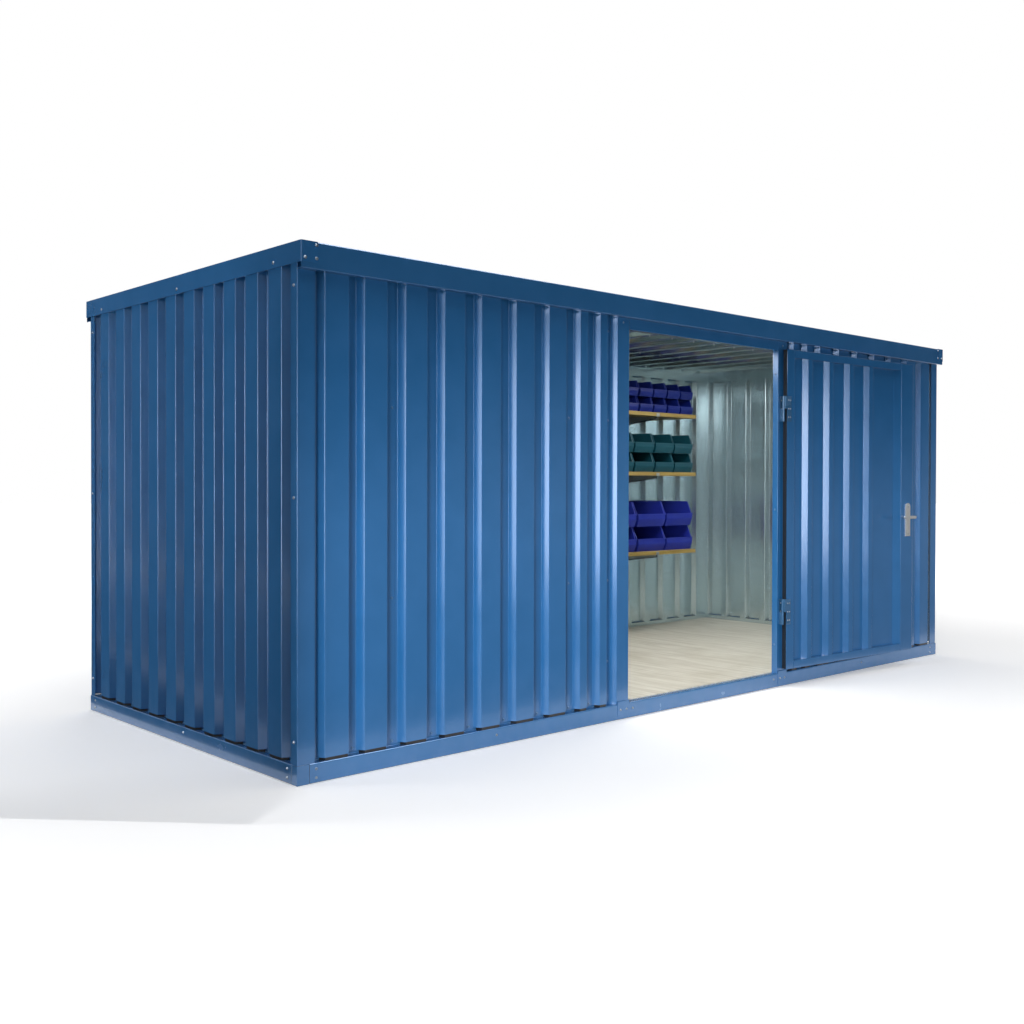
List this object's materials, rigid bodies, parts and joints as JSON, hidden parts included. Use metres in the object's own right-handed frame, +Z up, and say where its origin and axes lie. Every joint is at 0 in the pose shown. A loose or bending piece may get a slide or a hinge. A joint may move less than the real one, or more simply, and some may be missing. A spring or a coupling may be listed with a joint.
{
  "type": "flat-pack steel storage container with a single door and bin shelves",
  "caption": "Blue steel storage container with trapezoidal sheet walls, a wide hinged door standing open, a timber floor and shelves of stacking bins inside.",
  "frame": {"origin": "middle of the base frame, at ground level", "axes": "+X along the long front from left to right, -Y out of the front, +Z up"},
  "size_m": [5.07, 2.3263, 2.15],
  "materials": {
    "blue_paint": "semi-gloss gentian blue enamel on galvanised sheet",
    "galvanised": "satin zinc",
    "floor_timber": "planed softwood boards, untreated",
    "bearer_timber": "sawn softwood",
    "shelf_board": "yellow resin-coated three-ply board",
    "dark_steel": "satin dark grey",
    "bin_blue": "moulded polypropylene",
    "bin_green": "moulded polypropylene",
    "bin_dark_blue": "moulded polypropylene",
    "rubber": "matte",
    "stainless": "brushed"
  },
  "bodies": {
    "container": {"base_beam_front": "blue_paint", "base_beam_rear": "blue_paint", "base_beam_left": "blue_paint", "base_beam_right": "blue_paint", "base_corners": "blue_paint", "corner_post_front_left": "blue_paint", "corner_post_front_right": "blue_paint", "corner_post_rear_left": "blue_paint", "corner_post_rear_right": "blue_paint", "front_wall_left": "blue_paint", "front_wall_right": "blue_paint", "left_wall": "blue_paint", "right_wall": "blue_paint", "rear_wall": "blue_paint", "roof_beam_front": "blue_paint", "roof_beam_rear": "blue_paint", "roof_beam_left": "blue_paint", "roof_beam_right": "blue_paint", "door_post_left": "blue_paint", "door_post_right": "blue_paint", "door_lintel": "blue_paint", "hinge_plates": "blue_paint", "floor_bearers": "bearer_timber", "floor_deck": "floor_timber", "roof_sheet": "galvanised", "shelf_bottom": "shelf_board", "shelf_middle": "shelf_board", "shelf_top": "shelf_board", "shelf_brackets": "dark_steel", "bins_large_lower": "bin_blue", "bins_large_upper": "bin_blue", "bins_medium_lower": "bin_green", "bins_medium_upper": "bin_green", "bins_small_lower": "bin_dark_blue", "bins_small_upper": "bin_dark_blue"},
    "door": {"door_hinge_stile": "blue_paint", "door_lock_stile": "blue_paint", "door_top_rail": "blue_paint", "door_bottom_rail": "blue_paint", "door_sheet": "blue_paint", "door_seal": "rubber", "door_hinge_leaves": "blue_paint", "lever_plates": "stainless"},
    "lever": {"door_levers": "stainless"}
  },
  "joints": [
    {"name": "door_swing", "type": "hinge", "parent": "container", "child": "door", "pos_m": [0.668, -1.0745, 1], "axis": [0, 0, -1], "range_deg": [0, 176.67]},
    {"name": "lever_turn", "type": "hinge", "parent": "door", "child": "lever", "pos_m": [1.92987, -1.14792, 0.985], "axis": [-0.0581, -0.9983, 0], "range_deg": [0, 40], "stiffness_Nm_per_rad": 1.5, "springref_deg": -28.65}
  ]
}
